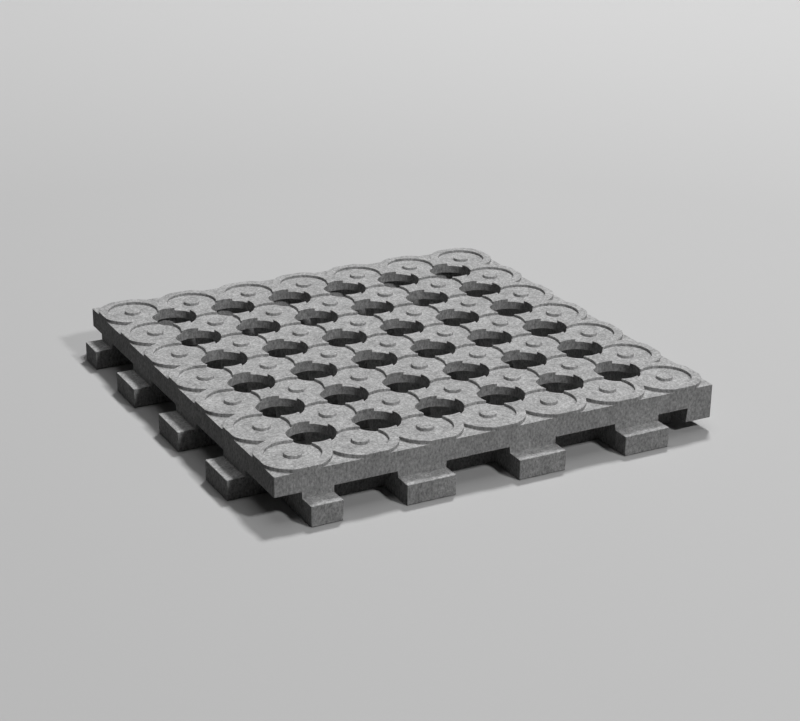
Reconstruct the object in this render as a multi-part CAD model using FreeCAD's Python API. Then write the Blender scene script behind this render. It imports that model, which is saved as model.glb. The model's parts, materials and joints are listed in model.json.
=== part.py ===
import FreeCAD, Part
import os

# Interlocking grass paver grid, moulded in one piece.
# Millimetres, +Z up. The origin is the centre of the laying module, on the ground.

# Laying module and levels above the ground
PITCH = 100.0                # spacing of the rings, and of the planting holes between them
RINGS_PER_SIDE = 7
DECK_TOP = 69.0              # tread level between the rings
DECK_THICKNESS = 12.0
SKIRT_BOTTOM = 39.0          # lower edge of the thick rim round the deck

# Tread: rings that merge with their neighbours, a knob in each, a hole between each four
RING_HEIGHT = 5.0
RING_RADIUS = 52.75
RECESS_RADIUS = 39.2
RECESS_DEPTH = 4.0
RECESS_SIDES = 20
KNOB_RADIUS = 12.0           # at its top, level with the rings
KNOB_DRAFT = 1.2
KNOB_SIDES = 12
HOLE_RADIUS = 34.6

# Lower frame and feet
WALL_SETBACK = 40.0          # from the rim's outer face to the frame's outer face
WALL_THICKNESS = 20.0
FOOT_TOP_RADIUS = 35.0
FOOT_BOTTOM_RADIUS = 26.0
FOOT_SIDES = 8

# Tongues on the front and left sides
TONGUE_WIDTH = 75.0
TONGUE_HEIGHT = 30.0
TONGUE_REACH = 27.0          # past the rim's outer face
TONGUE_STEP = 175.0
TONGUE_COUNT = 3
LAST_TONGUE_INSET = 131.0    # centre of the last tongue, from the module's far edge
CORNER_TONGUE_WIDTH = 47.0   # the one beside the corner starts at the frame's side

# Pads on the right and back sides, between the tongues of the next plate
PAD_BOTTOM = 17.0
PAD_FLARE = 4.0              # how far the pad's inner foot leans in under the frame
TONGUE_SIDE_CLEARANCE = 3.0
TONGUE_TOP_CLEARANCE = 1.0

MODULE = PITCH * RINGS_PER_SIDE
HALF = MODULE / 2
DECK_BOTTOM = DECK_TOP - DECK_THICKNESS
RING_TOP = DECK_TOP + RING_HEIGHT
RECESS_FLOOR = RING_TOP - RECESS_DEPTH
FRAME_HALF = HALF - WALL_SETBACK
FRAME_INNER_HALF = FRAME_HALF - WALL_THICKNESS
UP = FreeCAD.Vector(0, 0, 1)


def block(x_range, y_range, z_range):
    """A box between two values on each axis."""
    size = [high - low for low, high in (x_range, y_range, z_range)]
    return Part.makeBox(*size, FreeCAD.Vector(x_range[0], y_range[0], z_range[0]))


def square(half, z):
    """A square face about the Z axis."""
    corner = FreeCAD.Vector(-half, -half, z)
    return Part.makePlane(2 * half, 2 * half, corner)


def disc(centre, radius, z):
    """A round face."""
    circle = Part.Circle(FreeCAD.Vector(centre[0], centre[1], z), UP, radius)
    return Part.Face(Part.Wire(circle.toShape()))


def grid(count):
    """Centres of a square pattern of count by count places, one pitch apart."""
    first = -PITCH * (count - 1) / 2
    places = [first + PITCH * step for step in range(count)]
    return [(x, y) for x in places for y in places]


def disc_field(centres, radius, z):
    """Like round faces at many places."""
    return [disc(centre, radius, z) for centre in centres]


def polygon(centre, radius, sides, z):
    """The corners of a regular polygon, measured across its corners."""
    middle = FreeCAD.Vector(centre[0], centre[1], z)
    spoke = FreeCAD.Vector(radius, 0, 0)
    turns = [FreeCAD.Rotation(UP, 360 * side / sides) for side in range(sides)]
    return [middle + turn.multVec(spoke) for turn in turns]


def flat_face(corners):
    """A plane face through its corners."""
    return Part.Face(Part.makePolygon(corners + corners[:1]))


def post(centre, z_range, radii, sides):
    """A tapered post with few plane sides."""
    low, high = [polygon(centre, radius, sides, z) for z, radius in zip(z_range, radii)]
    faces = [flat_face(low), flat_face(high)]
    for side in range(sides):
        faces.append(flat_face([low[side - 1], low[side], high[side], high[side - 1]]))
    return Part.Solid(Part.Shell(faces))


def front_tongue_spans():
    """The X ranges of the tongues on the front side, from left to right."""
    spans = [(-FRAME_HALF, -FRAME_HALF + CORNER_TONGUE_WIDTH)]
    last = HALF - LAST_TONGUE_INSET
    for step in reversed(range(TONGUE_COUNT)):
        middle = last - step * TONGUE_STEP
        spans.append((middle - TONGUE_WIDTH / 2, middle + TONGUE_WIDTH / 2))
    return spans


def quarter_turn(shape):
    """A copy turned a quarter clockwise about Z, seen from above."""
    turned = shape.copy()
    turned.rotate(FreeCAD.Vector(0, 0, 0), UP, -90)
    return turned


def make_deck():
    """The tread plate with its planting holes, and the merged rings and knobs on it."""
    rings = grid(RINGS_PER_SIDE)
    holes = grid(RINGS_PER_SIDE - 1)
    plate = square(HALF, DECK_BOTTOM).cut(disc_field(holes, HOLE_RADIUS, DECK_BOTTOM))
    outlines = disc_field(rings, RING_RADIUS, DECK_TOP)
    merged = outlines[0].fuse(outlines[1:]).removeSplitter().common(square(HALF, DECK_TOP))
    ring_layer = merged.cut(disc_field(holes, HOLE_RADIUS, DECK_TOP)).extrude(UP * RING_HEIGHT)
    recess_faces = [flat_face(polygon(centre, RECESS_RADIUS, RECESS_SIDES, RECESS_FLOOR)) for centre in rings]
    recesses = [face.extrude(UP * RECESS_DEPTH) for face in recess_faces]
    knob_levels = (RECESS_FLOOR, RING_TOP)
    knob_radii = (KNOB_RADIUS + KNOB_DRAFT, KNOB_RADIUS)
    knobs = [post(centre, knob_levels, knob_radii, KNOB_SIDES) for centre in rings]
    deck = plate.extrude(UP * DECK_THICKNESS)
    return deck.fuse([ring_layer.cut(recesses)] + knobs)


def make_rim():
    """The thick rim under the deck's edge, as wide as the frame's inner side."""
    profile = square(HALF, SKIRT_BOTTOM).cut(square(FRAME_INNER_HALF, SKIRT_BOTTOM))
    return profile.extrude(UP * (DECK_BOTTOM - SKIRT_BOTTOM))


def make_frame():
    """The set-back wall that carries the rim, and the tapered feet inside it."""
    wall = square(FRAME_HALF, 0).cut(square(FRAME_INNER_HALF, 0)).extrude(UP * DECK_BOTTOM)
    foot_radii = (FOOT_BOTTOM_RADIUS, FOOT_TOP_RADIUS)
    inner_rings = grid(RINGS_PER_SIDE - 2)
    feet = [post(centre, (0, DECK_BOTTOM), foot_radii, FOOT_SIDES) for centre in inner_rings]
    return [wall] + feet


def make_front_tongues():
    """Tongues that reach out under the next plate, each hung from the rim by a short neck."""
    pieces = []
    for span in front_tongue_spans():
        tongue = block(span, (-HALF - TONGUE_REACH, -FRAME_INNER_HALF), (0, TONGUE_HEIGHT))
        neck = block(span, (-HALF, -FRAME_INNER_HALF), (TONGUE_HEIGHT, SKIRT_BOTTOM))
        pieces.append(tongue.fuse(neck))
    return pieces


def make_back_seat(last_end):
    """The strip under the back rim that rests on the next plate's tongues, and the pads
    that drop between those tongues. The last pad ends at the X value given."""
    seat = TONGUE_HEIGHT + TONGUE_TOP_CLEARANCE
    strip = block((-FRAME_HALF, HALF), (FRAME_HALF, HALF), (seat, SKIRT_BOTTOM))
    lean = FRAME_HALF - PAD_FLARE
    profile = [(HALF, PAD_BOTTOM), (HALF, SKIRT_BOTTOM), (FRAME_HALF, SKIRT_BOTTOM), (lean, PAD_BOTTOM)]
    spans = front_tongue_spans()
    starts = [right + TONGUE_SIDE_CLEARANCE for left, right in spans]
    ends = [left - TONGUE_SIDE_CLEARANCE for left, right in spans[1:]] + [last_end]
    pads = []
    for start, end in zip(starts, ends):
        corners = [FreeCAD.Vector(start, y, z) for y, z in profile]
        pads.append(flat_face(corners).extrude(FreeCAD.Vector(end - start, 0, 0)))
    return [strip] + pads


def make_paver():
    """The whole plate. A quarter turn takes the front side to the left and the back to the right.
    The back pads stop at the frame's corner, beside the corner tongue of the plate on the right."""
    front = make_front_tongues()
    back = make_back_seat(FRAME_HALF)
    turned = [quarter_turn(piece) for piece in front + make_back_seat(HALF)]
    pieces = [make_rim()] + make_frame() + front + back + turned
    return make_deck().fuse(pieces).removeSplitter()


os.makedirs("parts", exist_ok=True)
paver = make_paver()
paver.exportStep("parts/paver_grid.step")
print("valid", paver.isValid(), "solids", len(paver.Solids), "volume litres", paver.Volume / 1e6)
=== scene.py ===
"""Looks of the interlocking grass paver grid: one moulded plate of grey, speckled recycled plastic."""
import json
import math
import bmesh
import bpy
from mathutils import Matrix, Vector

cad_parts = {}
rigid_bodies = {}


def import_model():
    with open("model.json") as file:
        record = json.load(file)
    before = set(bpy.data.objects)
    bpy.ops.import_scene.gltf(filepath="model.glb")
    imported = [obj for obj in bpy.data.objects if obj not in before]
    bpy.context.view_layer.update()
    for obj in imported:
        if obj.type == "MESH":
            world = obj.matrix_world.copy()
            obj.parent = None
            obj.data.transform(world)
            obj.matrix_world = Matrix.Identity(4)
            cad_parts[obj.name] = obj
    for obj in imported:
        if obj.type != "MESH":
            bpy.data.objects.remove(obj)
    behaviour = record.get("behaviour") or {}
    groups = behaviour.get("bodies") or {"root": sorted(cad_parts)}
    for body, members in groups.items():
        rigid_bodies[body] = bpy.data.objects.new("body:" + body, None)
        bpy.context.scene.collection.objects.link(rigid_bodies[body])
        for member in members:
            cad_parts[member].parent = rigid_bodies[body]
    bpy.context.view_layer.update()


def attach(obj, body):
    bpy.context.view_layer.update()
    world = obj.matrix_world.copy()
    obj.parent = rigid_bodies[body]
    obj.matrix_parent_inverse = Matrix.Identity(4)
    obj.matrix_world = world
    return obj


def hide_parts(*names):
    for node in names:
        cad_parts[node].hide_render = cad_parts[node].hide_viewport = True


for thing in list(bpy.data.objects):
    bpy.data.objects.remove(thing)
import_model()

# Sizes in millimetres, as in the part
MM = 0.001
PITCH = 100.0
RINGS = 7
HALF = PITCH * RINGS / 2
DECK_TOP = 69.0
DECK_BOTTOM = 57.0
RIM_BOTTOM = 39.0
RING_TOP = 74.0
RING_RADIUS = 52.75
RECESS_RADIUS = 39.0
RECESS_FLOOR = 70.0
KNOB_RADIUS = 12.0
KNOB_FOOT_RADIUS = 13.0
KNOB_TOP = RING_TOP
HOLE_RADIUS = 34.6
TIP_RADIUS = 1.5
GROUND = 0.0
FRAME_OUT = 310.0
FRAME_IN = 290.0
FOOT_TOP_RADIUS = 34.8
FOOT_BOTTOM_RADIUS = 25.2
TONGUE_TOP = 30.0
TONGUE_REACH = 27.0
TONGUE_END = HALF + TONGUE_REACH
TONGUE_WIDTH = 75.0
TONGUE_STEP = 175.0
TONGUE_COUNT = 3
LAST_TONGUE_INSET = 131.0
CORNER_TONGUE_WIDTH = 47.0
TONGUE_TOP_CLEARANCE = 1.0
SEAT = TONGUE_TOP + TONGUE_TOP_CLEARANCE
PAD_BOTTOM = 17.0
PAD_LEAN = 306.0
PAD_TOP = 309.0
PAD_GAP = 3.0
SLACK = 1.0  # for telling places apart
CORNER_DIGITS = 4  # corners of two faces meet when they agree to so many decimals

# Pieces of each arc
HOLE_RING_STEPS = 6
HOLE_FLOOR_STEPS = 4
TIP_STEPS = 6
RECESS_STEP = 4.5
RING_STEPS = 7
KNOB_STEPS = 40
FOOT_STEPS = 40

# Rounding of the edges
BEVEL = 1.1
BEVEL_SEGMENTS = 2
TREAD_SHARE = 0.7
SHARP_ANGLE = 15.0
FLAT_ANGLE = 0.5

# Material. A noise is its scale, detail and roughness, and a ramp has pairs of a position and a grey level.
# Shorter steps in height draw the flecks out into upright streaks.
WHITE = (1.0, 1.0, 1.0, 1.0)
ROUGHNESS = 0.8
GLOSS = 0.12
UPRIGHT_STRETCH = 0.6
CLOUD_NOISE = (60.0, 4.0, 0.6)
CLOUD_RAMP = ((0.3, 0.34), (0.7, 0.48))
FLECK_NOISE = (300.0, 4.0, 0.75)
FLECK_RAMP = ((0.36, 0.1), (0.64, 0.9))
FLECK_SHARE = 0.48
GRAIN_NOISE = (700.0, 3.0, 0.6)
GRAIN_STRENGTH = 0.35
GRAIN_DEPTH = 0.0006

# Camera, in metres and degrees
AZIMUTH = -28.39
ELEVATION = 21.884
ROLL = 0.772
DISTANCE = 2.7416
AIM_POINT = Vector((-0.0149, -0.067, 0.0697))
SENSOR = 36.0
LENS = 82.61
CLIP_END = 50.0

# Stage
FLOOR_HALF = 12.0
FLOOR_DROP = 0.0005
FLOOR_ROUGHNESS = 0.9
FLOOR_LEVEL = 0.55
FLOOR_BOUNCE = 0.1
GLOW_START = 1.2
GLOW_FULL = 10.0
BACKDROP_LEVEL = 0.43
LAMP_DISTANCE = 8.0
KEY_DIRECTION = Vector((0.42, 0.42, 1.0))
KEY_SIZE = 1.2
KEY_ENERGY = 405.0
FRONT_DIRECTION = Vector((0.42, -1.0, 1.0))
FRONT_SIZE = 1.0
FRONT_ENERGY = 222.0
TOP_DIRECTION = Vector((0.02, 0.0, 1.0))
TOP_SIZE = 5.5
TOP_ENERGY = 108.0
WORLD_LEVEL = 0.005


class Skin:
    """Plane faces gathered as lists of corners, in millimetres."""

    def __init__(self):
        self.faces = []

    def add(self, corners):
        self.faces.append([tuple(round(value, CORNER_DIGITS) for value in corner) for corner in corners])

    def wall(self, line, low, high):
        """Upright faces over a line of plan points. The line runs with the open side on its left."""
        for (ax, ay), (bx, by) in zip(line[:-1], line[1:]):
            self.add([(ax, ay, high), (bx, by, high), (bx, by, low), (ax, ay, low)])

    def flat(self, line, z, up=True):
        """A level face over a plan loop that runs counter-clockwise."""
        loop = [(x, y, z) for x, y in line]
        self.add(loop if up else loop[::-1])


def arc(centre, radius, start, end, steps):
    """Plan points along an arc, angles in degrees."""
    angles = [math.radians(start + (end - start) * step / steps) for step in range(steps + 1)]
    return [(centre[0] + radius * math.cos(a), centre[1] + radius * math.sin(a)) for a in angles]


def turned(points, quarter, centre):
    """Plan points about the origin turned by quarters of a turn and moved to a centre."""
    cos, sin = [(1, 0), (0, 1), (-1, 0), (0, -1)][quarter]
    return [(centre[0] + x * cos - y * sin, centre[1] + x * sin + y * cos) for x, y in points]


def mirrored(points):
    """Plan points mirrored in the X axis, in reverse order."""
    return [(x, -y) for x, y in reversed(points)]


def ring_tip():
    """Centre of the round end of a ring between its recess and the hole at 45 degrees, with the angle of
    that centre seen from the ring and from the hole."""
    gap = PITCH / math.sqrt(2)
    near, far = RECESS_RADIUS + TIP_RADIUS, HOLE_RADIUS + TIP_RADIUS
    at_ring = math.pi / 4 - math.acos((near ** 2 + gap ** 2 - far ** 2) / (2 * near * gap))
    x, y = near * math.cos(at_ring), near * math.sin(at_ring)
    at_hole = math.atan2(y - PITCH / 2, x - PITCH / 2)
    return (x, y), math.degrees(at_ring), math.degrees(at_hole)


TIP_CENTRE, RING_CROSS, HOLE_CROSS = ring_tip()
TIP = arc(TIP_CENTRE, TIP_RADIUS, HOLE_CROSS + 180, RING_CROSS + 180, TIP_STEPS)
CUSP = math.sqrt(RING_RADIUS ** 2 - (PITCH / 2) ** 2)
CUSP_ANGLE = math.degrees(math.atan2(CUSP, PITCH / 2))
CORNER = (PITCH / 2, PITCH / 2)
RING_PLACES = [PITCH * step - HALF + PITCH / 2 for step in range(RINGS)]
LAST_RING = RING_PLACES[-1]
HOLE_AT_RING = arc(CORNER, HOLE_RADIUS, -90, HOLE_CROSS, HOLE_RING_STEPS)
HOLE_AT_FLOOR = arc(CORNER, HOLE_RADIUS, HOLE_CROSS, -135, HOLE_FLOOR_STEPS)
RING_ARC = arc((0, 0), RING_RADIUS, CUSP_ANGLE, 45, RING_STEPS)


def half_recess(end):
    """The recess edge from the X axis to an angle."""
    return arc((0, 0), RECESS_RADIUS, 0, end, round(end / RECESS_STEP))


def upper_half(holed):
    """For the half side above the X axis: outer line of the ring top from border to recess, recess edge
    from there to the axis, and the floor's edge from the diagonal to the recess."""
    if holed:
        outer, recess = HOLE_AT_RING, half_recess(RING_CROSS)[:-1] + TIP[::-1]
        floor_end = HOLE_AT_FLOOR[::-1]
    else:
        recess = half_recess(45)
        outer = RING_ARC + [recess[-1]]
        floor_end = [recess[-1]]
    return outer, recess[::-1], floor_end


def tread_side(skin, centre, quarter, holed_before, holed_after, on_edge):
    """A quarter of a ring's cell: ring top, recess wall and floor, hole walls, knob side and, on the plate's
    edge, its outer face."""

    def place(points):
        return turned(points, quarter, centre)

    outer, recess, floor_end = upper_half(holed_after)
    outer_low, recess_low, floor_low = [mirrored(line) for line in upper_half(holed_before)]
    recess_line = recess + recess_low[1:]
    skin.flat(place(outer[:-1] + recess_line + outer_low[1:]), RING_TOP)
    skin.wall(place(recess_line), RECESS_FLOOR, RING_TOP)
    quarter_knob = KNOB_STEPS // 4
    knob_foot = arc((0, 0), KNOB_FOOT_RADIUS, -45, 45, quarter_knob)
    knob_head = arc((0, 0), KNOB_RADIUS, -45, 45, quarter_knob)
    floor = floor_end + recess_line[1:-1] + floor_low + knob_foot
    skin.flat(place(floor[::-1]), RECESS_FLOOR)
    foot, head = place(knob_foot), place(knob_head)
    for (a, b), (c, d) in zip(zip(foot, foot[1:]), zip(head, head[1:])):
        skin.add([(*a, RECESS_FLOOR), (*b, RECESS_FLOOR), (*d, KNOB_TOP), (*c, KNOB_TOP)])
    if holed_after:
        skin.wall(place(HOLE_AT_RING), DECK_BOTTOM, RING_TOP)
        skin.wall(place(HOLE_AT_FLOOR), DECK_BOTTOM, RECESS_FLOOR)
    else:
        skin.wall(place(RING_ARC), DECK_TOP, RING_TOP)
    if holed_before:
        skin.wall(place(mirrored(HOLE_AT_RING)), DECK_BOTTOM, RING_TOP)
        skin.wall(place(mirrored(HOLE_AT_FLOOR)), DECK_BOTTOM, RECESS_FLOOR)
    else:
        skin.wall(place(mirrored(RING_ARC)), DECK_TOP, RING_TOP)
    if on_edge:
        side = PITCH / 2
        skin.wall(place([(side, -CUSP), (side, CUSP)]), DECK_TOP, RING_TOP)
        skin.wall(place([(side, -side), (side, side)]), DECK_BOTTOM, DECK_TOP)


def open_corner(skin, centre, quarter):
    """The tread beside a ring at the plate's edge, in one corner of its cell."""
    side = PITCH / 2
    after = turned(mirrored(RING_ARC), 1, (0, 0))
    loop = [(side, CUSP), (side, side), (CUSP, side)] + after[::-1][1:] + RING_ARC[::-1][1:-1]
    skin.flat(turned(loop, quarter, centre), DECK_TOP)


def tread(skin):
    """All the rings, each with its own cell."""
    corners = [(1, 1), (-1, 1), (-1, -1), (1, -1)]
    for x in RING_PLACES:
        for y in RING_PLACES:
            holed = [max(abs(x + sx * PITCH / 2), abs(y + sy * PITCH / 2)) < LAST_RING + SLACK
                     for sx, sy in corners]
            edges = [place > LAST_RING - SLACK for place in (x, y, -x, -y)]
            for quarter in range(4):
                tread_side(skin, (x, y), quarter, holed[quarter - 1], holed[quarter], edges[quarter])
                if not holed[quarter]:
                    open_corner(skin, (x, y), quarter)
            skin.flat(arc((x, y), KNOB_RADIUS, -45, 315, KNOB_STEPS)[:-1], KNOB_TOP)


def underside(skin):
    """The deck seen from below, inside the frame, with the feet."""
    side = PITCH / 2
    far = FRAME_IN - LAST_RING
    quarter_hole = HOLE_AT_RING + HOLE_AT_FLOOR[1:]
    whole_hole = quarter_hole + turned(mirrored(quarter_hole), 1, (0, 0))[1:]
    for x in RING_PLACES[1:-1]:
        for y in RING_PLACES[1:-1]:
            foot_side(skin, (x, y), quarter_hole)
    for quarter in range(4):
        for place in RING_PLACES[1:-1]:
            loop = [(far, -side), (far, side)]
            loop += [(-x, y) for x, y in whole_hole[::-1]]
            loop += [(-x, -y) for x, y in whole_hole]
            beside = turned(loop, 0, (LAST_RING, place))
            skin.flat(turned(beside, quarter, (0, 0)), DECK_BOTTOM, up=False)
        loop = [(far, -side), (far, far), (-side, far)]
        loop += turned(whole_hole, 2, (0, 0))
        in_corner = turned(loop, 0, (LAST_RING, LAST_RING))
        skin.flat(turned(in_corner, quarter, (0, 0)), DECK_BOTTOM, up=False)


def foot_side(skin, centre, quarter_hole):
    """The underside round one foot, and the foot."""
    steps = FOOT_STEPS // 4
    top = arc((0, 0), FOOT_TOP_RADIUS, -45, 45, steps)
    bottom = arc((0, 0), FOOT_BOTTOM_RADIUS, -45, 45, steps)
    for quarter in range(4):
        loop = quarter_hole + top[::-1] + mirrored(quarter_hole)
        skin.flat(turned(loop, quarter, centre), DECK_BOTTOM, up=True)
        high, low = turned(top, quarter, centre), turned(bottom, quarter, centre)
        for (a, b), (c, d) in zip(zip(high, high[1:]), zip(low, low[1:])):
            skin.add([(*c, GROUND), (*d, GROUND), (*b, DECK_BOTTOM), (*a, DECK_BOTTOM)])
    skin.flat(arc(centre, FOOT_BOTTOM_RADIUS, -45, 315, FOOT_STEPS)[:-1], GROUND, up=False)


def tongue_spans():
    """The X ranges of the tongues on the front side, from left to right."""
    spans = [(-FRAME_OUT, -FRAME_OUT + CORNER_TONGUE_WIDTH)]
    last = HALF - LAST_TONGUE_INSET
    for step in reversed(range(TONGUE_COUNT)):
        middle = last - step * TONGUE_STEP
        spans.append((middle - TONGUE_WIDTH / 2, middle + TONGUE_WIDTH / 2))
    return spans


def lower_boxes():
    """Boxes that make up the rim, the frame, the tongues, the seats that lie on the next plates' tongues, and
    the pads between those."""
    boxes = []
    tongues = tongue_spans()
    rim = (FRAME_IN, HALF, RIM_BOTTOM, DECK_BOTTOM)
    frame_wall = (FRAME_IN, FRAME_OUT, GROUND, DECK_BOTTOM)
    for near, far, low, high in (rim, frame_wall):
        for sign in (-1, 1):
            band = tuple(sorted((sign * near, sign * far)))
            boxes.append((band, (-far, far), (low, high)))
            boxes.append(((-far, far), band, (low, high)))
    for span in tongues:
        for reach, low, high in ((TONGUE_END, GROUND, TONGUE_TOP), (HALF, TONGUE_TOP, RIM_BOTTOM)):
            boxes.append((span, (-reach, -FRAME_IN), (low, high)))
            boxes.append(((-reach, -FRAME_IN), (-span[1], -span[0]), (low, high)))
    boxes.append(((-FRAME_OUT, HALF), (FRAME_OUT, HALF), (SEAT, RIM_BOTTOM)))
    boxes.append(((FRAME_OUT, HALF), (-HALF, FRAME_OUT), (SEAT, RIM_BOTTOM)))
    starts = [right + PAD_GAP for left, right in tongues]
    ends = [left - PAD_GAP for left, right in tongues[1:]]
    back = list(zip(starts, ends + [FRAME_OUT]))
    right = [(-end, -start) for start, end in zip(starts, ends + [HALF])]
    for span in back:
        boxes.append((span, (PAD_LEAN, HALF), (PAD_BOTTOM, RIM_BOTTOM)))
    for span in right:
        boxes.append(((PAD_LEAN, HALF), span, (PAD_BOTTOM, RIM_BOTTOM)))
    return boxes


def lower_part(skin):
    """The outer skin of all the boxes together, open at the deck's underside."""
    boxes = lower_boxes()
    planes = [sorted({value for box in boxes for value in box[axis]}) for axis in range(3)]
    cells = set()
    for box in boxes:
        spans = []
        for axis in range(3):
            first, last = [planes[axis].index(value) for value in box[axis]]
            spans.append(range(first, last))
        cells.update((i, j, k) for i in spans[0] for j in spans[1] for k in spans[2])
    top = len(planes[2]) - 2
    for cell in cells:
        for axis in range(3):
            for step in (0, 1):
                beside = list(cell)
                beside[axis] += 2 * step - 1
                if tuple(beside) in cells or (axis == 2 and step == 1 and cell[2] == top):
                    continue
                u, v = (axis + 1) % 3, (axis + 2) % 3
                loop = []
                for du, dv in ((0, 0), (1, 0), (1, 1), (0, 1)):
                    corner = [0.0, 0.0, 0.0]
                    corner[axis] = planes[axis][cell[axis] + step]
                    corner[u] = planes[u][cell[u] + du]
                    corner[v] = planes[v][cell[v] + dv]
                    loop.append(tuple(corner))
                skin.add(loop if step else loop[::-1])


def knit(faces):
    """Puts into each axis-aligned edge the corners of other faces that lie on it."""
    lines = {}
    for corner in {corner for face in faces for corner in face}:
        for axis in range(3):
            key = (axis,) + tuple(corner[other] for other in range(3) if other != axis)
            lines.setdefault(key, []).append(corner[axis])
    for values in lines.values():
        values.sort()
    knitted = []
    for face in faces:
        loop = []
        for start, end in zip(face, face[1:] + face[:1]):
            loop.append(start)
            along = [axis for axis in range(3) if start[axis] != end[axis]]
            if len(along) != 1:
                continue
            axis = along[0]
            key = (axis,) + tuple(start[other] for other in range(3) if other != axis)
            low, high = sorted((start[axis], end[axis]))
            between = [value for value in lines[key] if low < value < high]
            for value in between if start[axis] < end[axis] else between[::-1]:
                corner = list(start)
                corner[axis] = value
                loop.append(tuple(corner))
        knitted.append(loop)
    return knitted


def lean_pads(corner):
    """Leans the inner face of the corner pad: its upper corners move out, nearly to the frame's face."""
    x, y, z = corner
    if x == PAD_LEAN and z <= RIM_BOTTOM:
        x += (PAD_TOP - PAD_LEAN) * (z - PAD_BOTTOM) / (RIM_BOTTOM - PAD_BOTTOM)
    return x, y, z


def make_plate():
    """The whole plate as one closed mesh, in metres."""
    skin = Skin()
    tread(skin)
    underside(skin)
    lower_part(skin)
    index, faces = {}, []
    for face in knit(skin.faces):
        faces.append([index.setdefault(corner, len(index)) for corner in face])
    mesh = bpy.data.meshes.new("paver_plate")
    mesh.from_pydata([[value * MM for value in lean_pads(corner)] for corner in index], [], faces)
    shape = bmesh.new()
    shape.from_mesh(mesh)
    bmesh.ops.recalc_face_normals(shape, faces=shape.faces)
    flat = math.radians(FLAT_ANGLE)
    bmesh.ops.dissolve_limit(shape, angle_limit=flat, verts=shape.verts, edges=shape.edges)
    weigh_edges(shape)
    for face in shape.faces:
        face.smooth = True
    shape.to_mesh(mesh)
    shape.free()
    return mesh


def weigh_edges(shape):
    """Gives each outward edge its share of the rounding: full on the plain lower blocks, less on the tread,
    and none on its upright edges."""
    layer = shape.edges.layers.float.new("bevel_weight_edge")
    for edge in shape.edges:
        if len(edge.link_faces) != 2 or not edge.is_convex:
            continue
        if edge.calc_face_angle() < math.radians(SHARP_ANGLE):
            continue
        low = min(vertex.co.z for vertex in edge.verts) / MM
        upright = abs(edge.verts[0].co.z - edge.verts[1].co.z) > SLACK * MM
        if low < DECK_BOTTOM - SLACK:
            edge[layer] = 1.0
        elif not upright:
            edge[layer] = TREAD_SHARE


def round_edges(plate):
    """Small moulded radii on the outward edges."""
    bevel = plate.modifiers.new("moulded_edges", "BEVEL")
    bevel.limit_method = "WEIGHT"
    bevel.width = BEVEL * MM
    bevel.segments = BEVEL_SEGMENTS
    bevel.use_clamp_overlap = False
    bevel.harden_normals = True
    plate.data.set_sharp_from_angle(angle=math.radians(SHARP_ANGLE))


def node(tree, kind, **values):
    """A shader node with its inputs set."""
    made = tree.nodes.new(kind)
    for name, value in values.items():
        made.inputs[name.replace("_", " ")].default_value = value
    return made


def speckled_plastic():
    """Grey recycled plastic: light and dark flecks, faint clouds, and a fine grain."""
    material = bpy.data.materials.new("speckled_plastic")
    material.use_nodes = True
    tree = material.node_tree
    shader = tree.nodes["Principled BSDF"]
    shader.inputs["Roughness"].default_value = ROUGHNESS
    shader.inputs["Specular IOR Level"].default_value = GLOSS
    stretch = node(tree, "ShaderNodeMapping", Scale=(1.0, 1.0, UPRIGHT_STRETCH))
    tree.links.new(tree.nodes.new("ShaderNodeTexCoord").outputs["Object"], stretch.inputs["Vector"])
    place = stretch.outputs["Vector"]

    def noise(scale, detail, roughness):
        made = node(tree, "ShaderNodeTexNoise", Scale=scale, Detail=detail, Roughness=roughness)
        tree.links.new(place, made.inputs["Vector"])
        return made.outputs["Fac"]

    def ramp(value, stops):
        made = tree.nodes.new("ShaderNodeValToRGB")
        elements = made.color_ramp.elements
        for element, (position, level) in zip(elements, stops):
            element.position = position
            element.color = (level, level, level, 1.0)
        tree.links.new(value, made.inputs["Fac"])
        return made.outputs["Color"]

    def mix(mode, amount, first, second):
        made = tree.nodes.new("ShaderNodeMix")
        made.data_type = "RGBA"
        made.blend_type = mode
        made.inputs["Factor"].default_value = amount
        tree.links.new(first, made.inputs["A"])
        tree.links.new(second, made.inputs["B"])
        return made.outputs["Result"]

    clouds = ramp(noise(*CLOUD_NOISE), CLOUD_RAMP)
    flecks = ramp(noise(*FLECK_NOISE), FLECK_RAMP)
    colour = mix("OVERLAY", FLECK_SHARE, clouds, flecks)
    tree.links.new(colour, shader.inputs["Base Color"])
    bump = node(tree, "ShaderNodeBump", Strength=GRAIN_STRENGTH, Distance=GRAIN_DEPTH)
    tree.links.new(noise(*GRAIN_NOISE), bump.inputs["Height"])
    tree.links.new(bump.outputs["Normal"], shader.inputs["Normal"])
    return material


def joined(tree, operation, first, second):
    """Two values added or multiplied, kept between 0 and 1."""
    made = tree.nodes.new("ShaderNodeMath")
    made.operation = operation
    made.use_clamp = True
    tree.links.new(first, made.inputs[0])
    tree.links.new(second, made.inputs[1])
    return made.outputs["Value"]


def seen_rays(tree):
    """1 for the rays that show the stage, straight or mirrored, and 0 for the light that it throws back."""
    path = tree.nodes.new("ShaderNodeLightPath").outputs
    mirrored_rays = joined(tree, "ADD", path["Is Glossy Ray"], path["Is Transmission Ray"])
    return joined(tree, "ADD", path["Is Camera Ray"], mirrored_rays)


def level_by_ray(tree, seen, unseen_level, seen_level):
    """One level for the rays that show the stage and another for the rest."""
    level = tree.nodes.new("ShaderNodeMix")
    level.inputs["A"].default_value = unseen_level
    level.inputs["B"].default_value = seen_level
    tree.links.new(seen, level.inputs["Factor"])
    return level.outputs["Result"]


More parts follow.
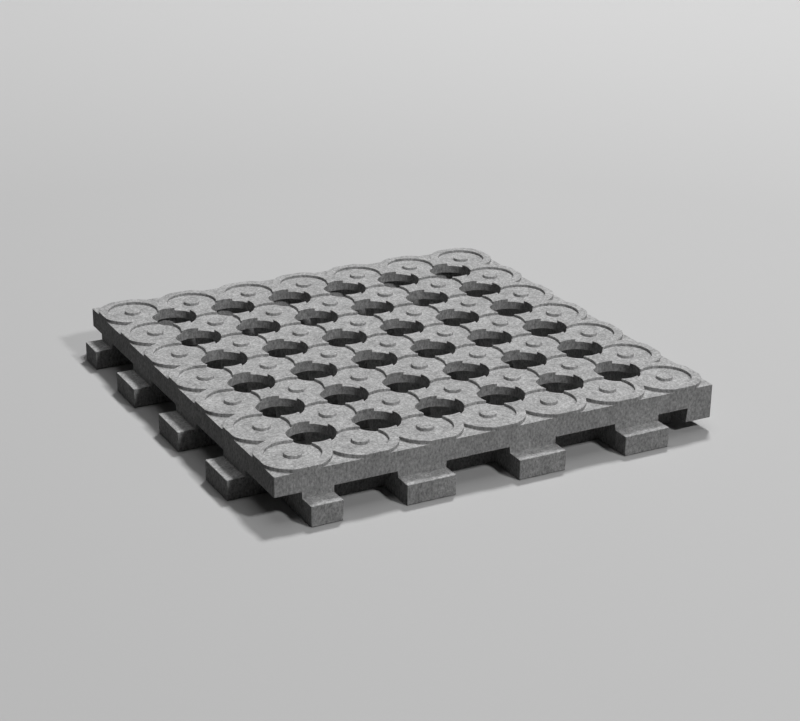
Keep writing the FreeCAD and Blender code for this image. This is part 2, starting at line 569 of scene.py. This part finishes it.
def floor_material():
    """Plain and pale to the eye, darker in the light that it throws back on the object. Where the lamps
    hardly reach, far from the object, a faint glow keeps it pale."""
    material = bpy.data.materials.new("floor")
    material.use_nodes = True
    tree = material.node_tree
    shader = tree.nodes["Principled BSDF"]
    shader.inputs["Roughness"].default_value = FLOOR_ROUGHNESS
    shader.inputs["Emission Color"].default_value = WHITE
    seen = seen_rays(tree)
    tree.links.new(level_by_ray(tree, seen, FLOOR_BOUNCE, FLOOR_LEVEL), shader.inputs["Base Color"])
    distance = tree.nodes.new("ShaderNodeVectorMath")
    distance.operation = "LENGTH"
    tree.links.new(tree.nodes.new("ShaderNodeTexCoord").outputs["Object"], distance.inputs["Vector"])
    glow = node(tree, "ShaderNodeMapRange", From_Min=GLOW_START, From_Max=GLOW_FULL, To_Max=BACKDROP_LEVEL)
    tree.links.new(distance.outputs["Value"], glow.inputs["Value"])
    tree.links.new(joined(tree, "MULTIPLY", seen, glow.outputs["Result"]), shader.inputs["Emission Strength"])
    return material


def add_plate():
    """The plate, in place of the CAD node."""
    plate = bpy.data.objects.new("paver_plate", make_plate())
    bpy.context.scene.collection.objects.link(plate)
    round_edges(plate)
    plate.data.materials.append(speckled_plastic())
    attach(plate, "root")
    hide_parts("paver_grid")


def add_floor():
    """A plain pale floor."""
    mesh = bpy.data.meshes.new("floor")
    signs = ((-1, -1), (1, -1), (1, 1), (-1, 1))
    mesh.from_pydata([(x * FLOOR_HALF, y * FLOOR_HALF, 0) for x, y in signs], [], [(0, 1, 2, 3)])
    mesh.materials.append(floor_material())
    floor = bpy.data.objects.new("floor", mesh)
    floor.location.z = -FLOOR_DROP
    bpy.context.scene.collection.objects.link(floor)


def aim(thing, location, right, up, back):
    """Puts a camera or lamp at a place, with its axes along three given directions."""
    turn = Matrix((right, up, back)).transposed()
    thing.matrix_world = Matrix.Translation(location) @ turn.to_4x4()


def add_lamp(name, direction, size, energy):
    """A round soft lamp that shines at the plate from a direction."""
    lamp = bpy.data.lights.new(name, "AREA")
    lamp.shape = "DISK"
    lamp.size = size
    lamp.energy = energy
    thing = bpy.data.objects.new(name, lamp)
    bpy.context.scene.collection.objects.link(thing)
    back = direction.normalized()
    right = Vector((0, 0, 1)).cross(back).normalized()
    aim(thing, back * LAMP_DISTANCE, right, back.cross(right), back)


def add_light():
    """A lamp high up behind on the right, a weaker one in front, a wide one overhead, and a world that is
    as pale as the floor to the eye and dim as a light."""
    add_lamp("key", KEY_DIRECTION, KEY_SIZE, KEY_ENERGY)
    add_lamp("front", FRONT_DIRECTION, FRONT_SIZE, FRONT_ENERGY)
    add_lamp("top", TOP_DIRECTION, TOP_SIZE, TOP_ENERGY)
    world = bpy.data.worlds.new("studio")
    world.use_nodes = True
    surface = world.node_tree.nodes["Background"]
    surface.inputs["Color"].default_value = WHITE
    strength = level_by_ray(world.node_tree, seen_rays(world.node_tree), WORLD_LEVEL, BACKDROP_LEVEL)
    world.node_tree.links.new(strength, surface.inputs["Strength"])
    bpy.context.scene.world = world


def add_camera():
    """The photo's viewing angle, framing and slight roll."""
    azimuth, elevation, roll = [math.radians(angle) for angle in (AZIMUTH, ELEVATION, ROLL)]
    back = Vector((math.sin(azimuth) * math.cos(elevation), -math.cos(azimuth) * math.cos(elevation),
                   math.sin(elevation)))
    level = Vector((math.cos(azimuth), math.sin(azimuth), 0))
    upright = back.cross(level)
    right = level * math.cos(roll) + upright * math.sin(roll)
    lens = bpy.data.cameras.new("camera")
    lens.lens = LENS
    lens.sensor_width = SENSOR
    lens.clip_end = CLIP_END
    camera = bpy.data.objects.new("camera", lens)
    bpy.context.scene.collection.objects.link(camera)
    aim(camera, AIM_POINT + back * DISTANCE, right, back.cross(right), back)
    bpy.context.scene.camera = camera


add_plate()
add_floor()
add_light()
add_camera()
bpy.context.scene.view_settings.view_transform = "Standard"
